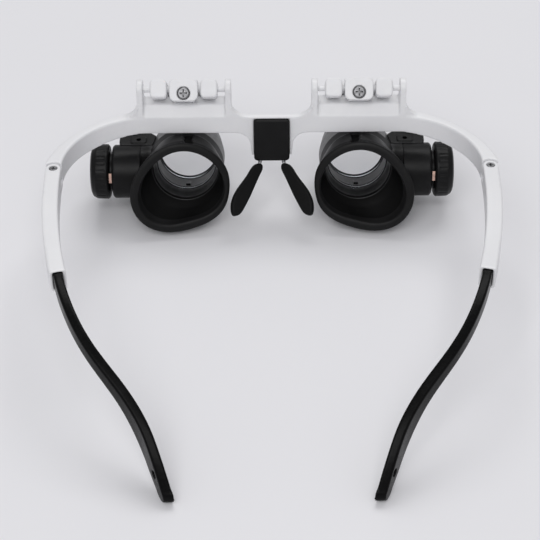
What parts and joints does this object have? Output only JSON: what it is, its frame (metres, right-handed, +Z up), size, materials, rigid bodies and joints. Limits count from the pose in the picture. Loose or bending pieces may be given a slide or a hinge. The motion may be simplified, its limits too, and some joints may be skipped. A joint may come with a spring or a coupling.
{
  "type": "head visor magnifier",
  "caption": "White head-worn frame with folding temples, carrying flip-up loupes with rubber eyecups, battery pods and swivel lamps over the brow.",
  "frame": {"origin": "middle of the bounding box, on the surface that the magnifier stands on", "axes": "+X to the wearer's right, +Y away from the wearer, +Z up; the object lies on its lens fronts and temple tips"},
  "size_m": [0.1522, 0.1692, 0.0527],
  "materials": {
    "white_plastic": "satin moulded white",
    "black_plastic": "matte moulded black",
    "barrel_black": "satin dark grey black",
    "pod_black": "satin black",
    "arm_black": "satin black",
    "soft_black": "soft matte silicone",
    "eyecup_rubber": "soft matte rubber",
    "clear_plastic": "clear moulded",
    "lens_glass": "polished clear",
    "lamp_clear": "polished clear",
    "led_body": "clear epoxy over phosphor",
    "steel": "zinc plated",
    "cell_steel": "polished",
    "copper": "bare copper alloy"
  },
  "bodies": {
    "frame": {"brow_frame": "white_plastic", "bridge_block": "black_plastic", "bridge_screws": "steel", "nose_pad_wire_right": "clear_plastic", "hinge_pin_right": "white_plastic", "nose_pad_wire_left": "clear_plastic", "hinge_pin_left": "white_plastic"},
    "nose_pad_right": {"nose_pad_right": "soft_black"},
    "carriage_right": {"carriage_right": "white_plastic", "carriage_screw_right": "steel"},
    "loupe_right": {"flip_arm_right": "white_plastic", "arm_screws_right": "steel", "loupe_housing_right": "barrel_black", "eyecup_right": "eyecup_rubber", "battery_pod_right": "pod_black", "coin_cells_right": "cell_steel", "cell_spring_right": "cell_steel", "battery_contact_right": "copper", "lamp_bracket_right": "pod_black", "lamp_screw_right": "steel"},
    "lens_right": {"lens_cell_right": "barrel_black", "rear_lens_right": "lens_glass", "front_lens_right": "lens_glass", "retaining_ring_right": "barrel_black"},
    "battery_cap_right": {"battery_cap_right": "pod_black"},
    "lamp_right": {"lamp_head_right": "pod_black", "led_right": "led_body", "lamp_lens_right": "lamp_clear"},
    "temple_right": {"temple_front_right": "white_plastic", "temple_screw_right": "steel"},
    "temple_arm_right": {"temple_arm_right": "arm_black"},
    "nose_pad_left": {"nose_pad_left": "soft_black"},
    "carriage_left": {"carriage_left": "white_plastic", "carriage_screw_left": "steel"},
    "loupe_left": {"flip_arm_left": "white_plastic", "arm_screws_left": "steel", "loupe_housing_left": "barrel_black", "eyecup_left": "eyecup_rubber", "battery_pod_left": "pod_black", "coin_cells_left": "cell_steel", "cell_spring_left": "cell_steel", "battery_contact_left": "copper", "lamp_bracket_left": "pod_black", "lamp_screw_left": "steel"},
    "lens_left": {"lens_cell_left": "barrel_black", "rear_lens_left": "lens_glass", "front_lens_left": "lens_glass", "retaining_ring_left": "barrel_black"},
    "battery_cap_left": {"battery_cap_left": "pod_black"},
    "lamp_left": {"lamp_head_left": "pod_black", "led_left": "led_body", "lamp_lens_left": "lamp_clear"},
    "temple_left": {"temple_front_left": "white_plastic", "temple_screw_left": "steel"},
    "temple_arm_left": {"temple_arm_left": "arm_black"}
  },
  "joints": [
    {"name": "pupil_slide_right", "type": "slide", "parent": "frame", "child": "carriage_right", "axis": [1, 0, 0], "range_m": [-0.0022, 0.0022]},
    {"name": "flip_right", "type": "hinge", "parent": "carriage_right", "child": "loupe_right", "pos_m": [0.0304, 0.06467, 0.04775], "axis": [1, 0, 0], "range_deg": [0, 85]},
    {"name": "lens_pull_right", "type": "slide", "parent": "loupe_right", "child": "lens_right", "axis": [0, 0.9397, -0.342], "range_m": [0, 0.012]},
    {"name": "cap_turn_right", "type": "hinge", "parent": "loupe_right", "child": "battery_cap_right", "pos_m": [0.06, 0.06147, 0.015], "axis": [1, 0, 0], "range_deg": [0, 45]},
    {"name": "lamp_swivel_right", "type": "hinge", "parent": "loupe_right", "child": "lamp_right", "pos_m": [0.05, 0.07287, 0.02245], "axis": [0, 0, 1], "range_deg": [-12, 12]},
    {"name": "temple_fold_right", "type": "hinge", "parent": "frame", "child": "temple_right", "pos_m": [0.0733, 0.03067, 0.03545], "axis": [0, 0, 1], "range_deg": [-62, 0]},
    {"name": "temple_length_right", "type": "slide", "parent": "temple_right", "child": "temple_arm_right", "axis": [-0.2455, -0.9694, 0], "range_m": [0, 0.014]},
    {"name": "pad_rock_right", "type": "hinge", "parent": "frame", "child": "nose_pad_right", "pos_m": [0.0045, 0.05717, 0.01955], "axis": [0, 1, 0], "range_deg": [-5, 5]},
    {"name": "pupil_slide_left", "type": "slide", "parent": "frame", "child": "carriage_left", "axis": [1, 0, 0], "range_m": [-0.0022, 0.0022]},
    {"name": "flip_left", "type": "hinge", "parent": "carriage_left", "child": "loupe_left", "pos_m": [-0.0304, 0.06467, 0.04775], "axis": [1, 0, 0], "range_deg": [0, 85]},
    {"name": "lens_pull_left", "type": "slide", "parent": "loupe_left", "child": "lens_left", "axis": [0, 0.9397, -0.342], "range_m": [0, 0.012]},
    {"name": "cap_turn_left", "type": "hinge", "parent": "loupe_left", "child": "battery_cap_left", "pos_m": [-0.06, 0.06147, 0.015], "axis": [1, 0, 0], "range_deg": [-45, 0]},
    {"name": "lamp_swivel_left", "type": "hinge", "parent": "loupe_left", "child": "lamp_left", "pos_m": [-0.05, 0.07287, 0.02245], "axis": [0, 0, 1], "range_deg": [-12, 12]},
    {"name": "temple_fold_left", "type": "hinge", "parent": "frame", "child": "temple_left", "pos_m": [-0.0733, 0.03067, 0.03545], "axis": [0, 0, 1], "range_deg": [0, 68]},
    {"name": "temple_length_left", "type": "slide", "parent": "temple_left", "child": "temple_arm_left", "axis": [0.2455, -0.9694, 0], "range_m": [0, 0.014]},
    {"name": "pad_rock_left", "type": "hinge", "parent": "frame", "child": "nose_pad_left", "pos_m": [-0.0045, 0.05717, 0.01955], "axis": [0, 1, 0], "range_deg": [-5, 5]}
  ]
}
